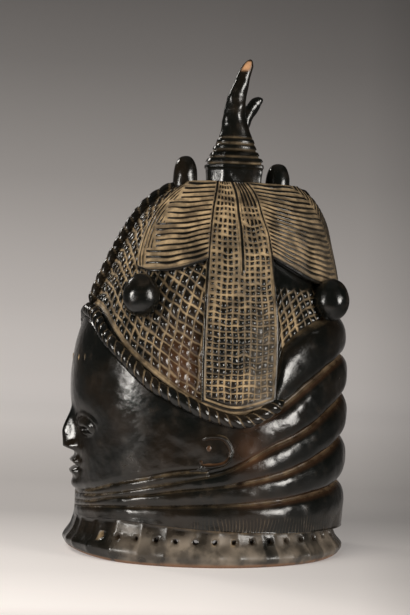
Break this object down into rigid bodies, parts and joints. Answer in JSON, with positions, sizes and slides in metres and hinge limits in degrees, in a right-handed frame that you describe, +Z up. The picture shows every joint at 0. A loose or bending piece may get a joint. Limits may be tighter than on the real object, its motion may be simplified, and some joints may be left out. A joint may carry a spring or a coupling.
{
  "type": "sowei helmet mask",
  "caption": "Hollow carved wooden helmet mask with a high forehead, plaited hair under a pair of horns, and fat neck coils above a pierced collar.",
  "frame": {"origin": "middle of the mask's plan, on the plane its rim stands on", "axes": "+Z up through the crown, -Y towards the face, +X towards the mask's own left ear"},
  "size_m": [0.2129, 0.2352, 0.406],
  "materials": {
    "carved_wood": "Dark, oiled and rubbed to a gloss on the high places, with tan dust in the grooves, worn to satin on the collar."
  },
  "bodies": {
    "root": {"sowei_mask": "carved_wood"}
  },
  "joints": []
}
